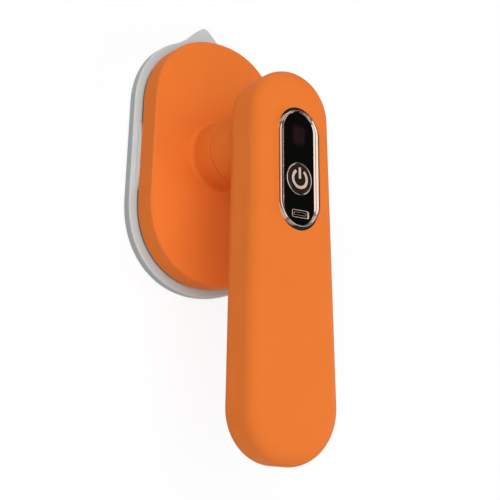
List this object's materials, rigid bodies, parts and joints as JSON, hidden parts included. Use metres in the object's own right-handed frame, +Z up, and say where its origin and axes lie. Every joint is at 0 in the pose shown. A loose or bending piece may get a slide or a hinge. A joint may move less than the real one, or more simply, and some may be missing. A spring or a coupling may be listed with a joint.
{
  "type": "handheld steam iron",
  "caption": "Cordless handheld steamer: a flat rounded head with a pointed pale soleplate rim, a swivelling slim handle and a rounded metal-framed control panel.",
  "frame": {"origin": "where the swivel axis of the handle meets the surface that the soleplate rests on", "axes": "+Z up along the swivel axis, +Y to the pointed nose of the soleplate, the handle lying over -Y, +X to the right of someone who looks along +Y"},
  "size_m": [0.0824, 0.2104, 0.0763],
  "materials": {
    "orange_shell": "satin moulded, soft to the touch",
    "rim_plastic": "satin moulded",
    "sole_metal": "brushed",
    "heater_steel": "heat-darkened",
    "cover_metal": "pressed",
    "screw_steel": "zinc plated",
    "spindle_steel": "turned",
    "socket_steel": "nickel plated",
    "rose_gold": "polished rose-gold plating",
    "black_gloss": "gloss",
    "display_glass": "gloss, unlit",
    "seal_rubber": "matte",
    "plug_rubber": "matte",
    "clear_rubber": "smooth",
    "shield_board": "pressed mica board",
    "tank_plastic": "clear blue moulded",
    "pump_plastic": "moulded",
    "nylon": "moulded",
    "wire_plastic": "smooth sleeve",
    "board_resin": "lacquered",
    "cell_can": null
  },
  "bodies": {
    "head": {"soleplate": "sole_metal", "heat_guard": "rim_plastic", "rim_gasket": "seal_rubber", "heating_element": "heater_steel", "chamber_cover": "cover_metal", "cover_screws": "screw_steel", "thermostat": "screw_steel", "thermal_fuse": "screw_steel", "heat_shield": "shield_board", "water_tank": "tank_plastic", "water_pump": "pump_plastic", "pump_clip": "nylon", "inlet_hose": "clear_rubber", "outlet_hose": "clear_rubber", "head_housing": "orange_shell", "swivel_spindle": "spindle_steel", "spindle_washer": "nylon", "spindle_nut": "spindle_steel", "detent_disc": "spindle_steel", "wire_loom": "wire_plastic", "cable_grommet": "seal_rubber"},
    "handle": {"rear_shell": "orange_shell", "front_shell": "orange_shell", "swivel_bush": "nylon", "detent_leaf": "spindle_steel", "bezel": "rose_gold", "window": "black_gloss", "display": "display_glass", "battery_mark": "rose_gold", "button_ring": "rose_gold", "circuit_board": "board_resin", "board_screws": "screw_steel", "button_switch": "nylon", "cell_left": "cell_can", "cell_right": "cell_can", "cell_cradle": "pump_plastic", "cell_strips": "screw_steel", "charge_board": "board_resin", "charge_socket": "socket_steel", "handle_screws": "screw_steel"},
    "power_key": {"power_button": "black_gloss", "power_mark": "rose_gold"},
    "filler_cap": {"filler_plug": "plug_rubber"}
  },
  "joints": [
    {"name": "handle_swivel", "type": "hinge", "parent": "head", "child": "handle", "pos_m": [0, 0, 0.0324], "axis": [0, 0, 1], "range_deg": [-90, 90]},
    {"name": "power_press", "type": "slide", "parent": "handle", "child": "power_key", "axis": [0, 0, -1], "range_m": [0, 0.0006], "stiffness_N_per_m": 1500, "springref_m": -0.0005},
    {"name": "filler_lift", "type": "slide", "parent": "head", "child": "filler_cap", "axis": [0, 0, 1], "range_m": [0, 0.012]}
  ]
}
